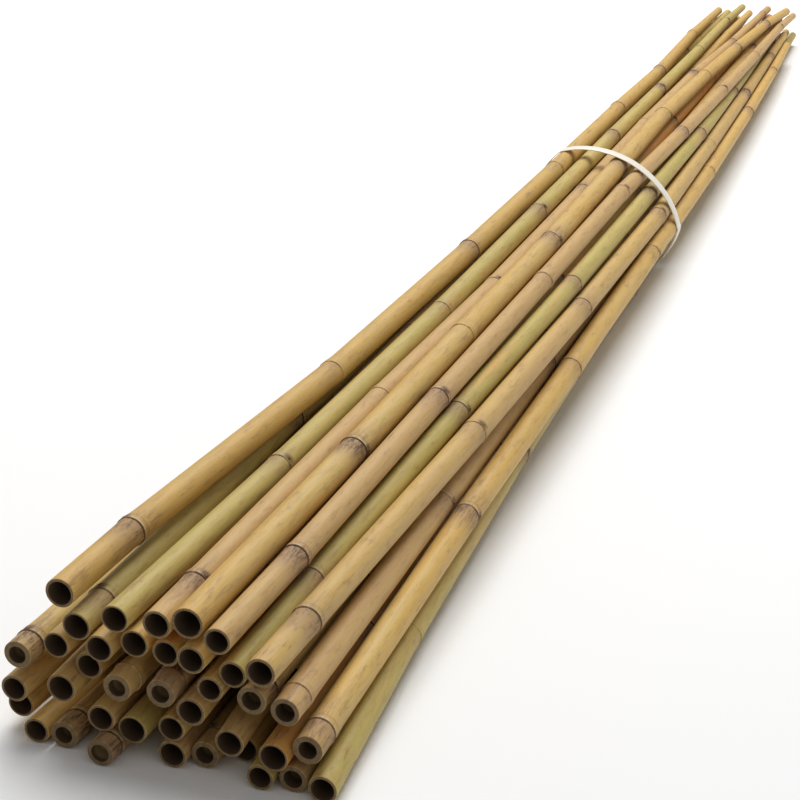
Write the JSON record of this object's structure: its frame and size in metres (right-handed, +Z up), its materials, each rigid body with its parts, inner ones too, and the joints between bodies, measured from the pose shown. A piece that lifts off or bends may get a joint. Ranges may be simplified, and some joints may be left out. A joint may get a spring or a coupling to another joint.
{
  "type": "bamboo cane bundle",
  "caption": "Bundle of bamboo garden canes lying on a floor, thin ends one way, held near the middle by one flat plastic strap.",
  "frame": {"origin": "on the floor, under the centre of the bundle's bounding box", "axes": "+Y along the canes from their thick cut ends to their thin ends, +X across the bundle, +Z up"},
  "size_m": [0.1962, 1.8388, 0.1039],
  "materials": {
    "bamboo": "satin",
    "strap_plastic": "satin"
  },
  "bodies": {
    "root": {"cane_01": "bamboo", "cane_02": "bamboo", "cane_03": "bamboo", "cane_04": "bamboo", "cane_05": "bamboo", "cane_06": "bamboo", "cane_07": "bamboo", "cane_08": "bamboo", "cane_09": "bamboo", "cane_10": "bamboo", "cane_11": "bamboo", "cane_12": "bamboo", "cane_13": "bamboo", "cane_14": "bamboo", "cane_15": "bamboo", "cane_16": "bamboo", "cane_17": "bamboo", "cane_18": "bamboo", "cane_19": "bamboo", "cane_20": "bamboo", "cane_21": "bamboo", "cane_22": "bamboo", "cane_23": "bamboo", "cane_24": "bamboo", "cane_25": "bamboo", "cane_26": "bamboo", "cane_27": "bamboo", "cane_28": "bamboo", "cane_29": "bamboo", "cane_30": "bamboo", "cane_31": "bamboo", "cane_32": "bamboo", "cane_33": "bamboo", "cane_34": "bamboo", "cane_35": "bamboo", "cane_36": "bamboo", "cane_37": "bamboo", "cane_38": "bamboo", "cane_39": "bamboo", "cane_40": "bamboo", "cane_41": "bamboo", "cane_42": "bamboo", "strap": "strap_plastic"}
  },
  "joints": []
}
